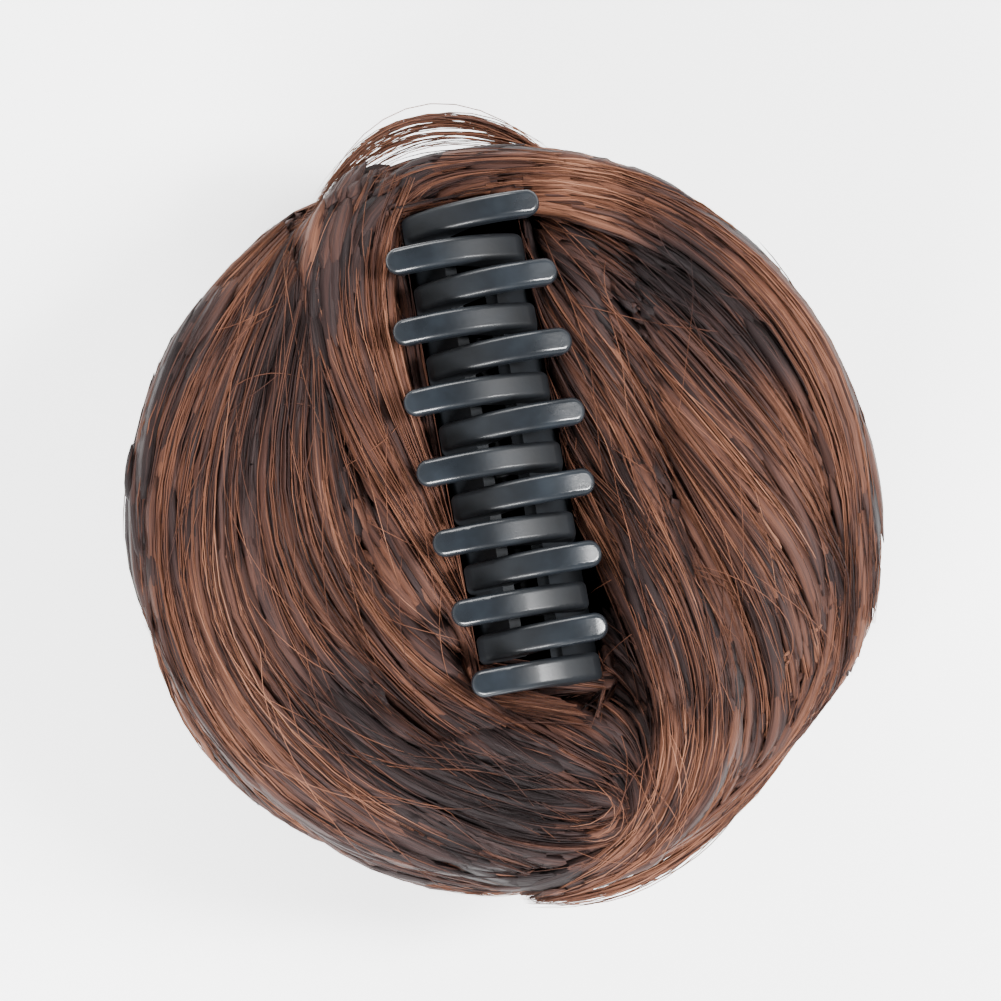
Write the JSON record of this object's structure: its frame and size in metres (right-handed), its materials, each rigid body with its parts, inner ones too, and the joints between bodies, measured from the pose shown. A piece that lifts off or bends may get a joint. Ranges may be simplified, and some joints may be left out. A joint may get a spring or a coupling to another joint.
{
  "type": "clip-on hair bun",
  "caption": "Round bun of wound brown hair with a black claw clip set in its open side; the claw's interlocking toothed jaws hinge on one sprung pin.",
  "frame": {"origin": "middle of the flat on the bun's crown, on which it rests", "axes": "+Z out of the claw side, away from the crown; +Y along the claw's row of teeth and its hinge; +X across the claw"},
  "size_m": [0.1149, 0.1254, 0.058],
  "materials": {
    "hair": "dark brown to auburn synthetic hair, satin",
    "claw_plastic": "black, glossy",
    "steel": "plain"
  },
  "bodies": {
    "bun": {"wound_base": "hair", "rim_hank_right": "hair", "rim_hank_left": "hair", "swoosh_lock": "hair", "fan_lock": "hair", "curl_lock": "hair", "top_loop": "hair", "tail_lock": "hair", "hinge_pin": "steel", "coil_spring": "steel"},
    "jaw_left": {"jaw_left": "claw_plastic"},
    "jaw_right": {"jaw_right": "claw_plastic"}
  },
  "joints": [
    {"name": "jaw_left_hinge", "type": "hinge", "parent": "bun", "child": "jaw_left", "pos_m": [0.0015, 0.008, 0.031], "axis": [0, -1, 0], "range_deg": [0, 36], "stiffness_Nm_per_rad": 0.02, "springref_deg": -34.38, "deforming": ["swoosh_lock", "coil_spring"]},
    {"name": "jaw_right_hinge", "type": "hinge", "parent": "bun", "child": "jaw_right", "pos_m": [0.0015, 0.008, 0.031], "axis": [0, 1, 0], "range_deg": [0, 36], "stiffness_Nm_per_rad": 0.02, "springref_deg": -34.38, "deforming": ["fan_lock", "curl_lock"]}
  ]
}
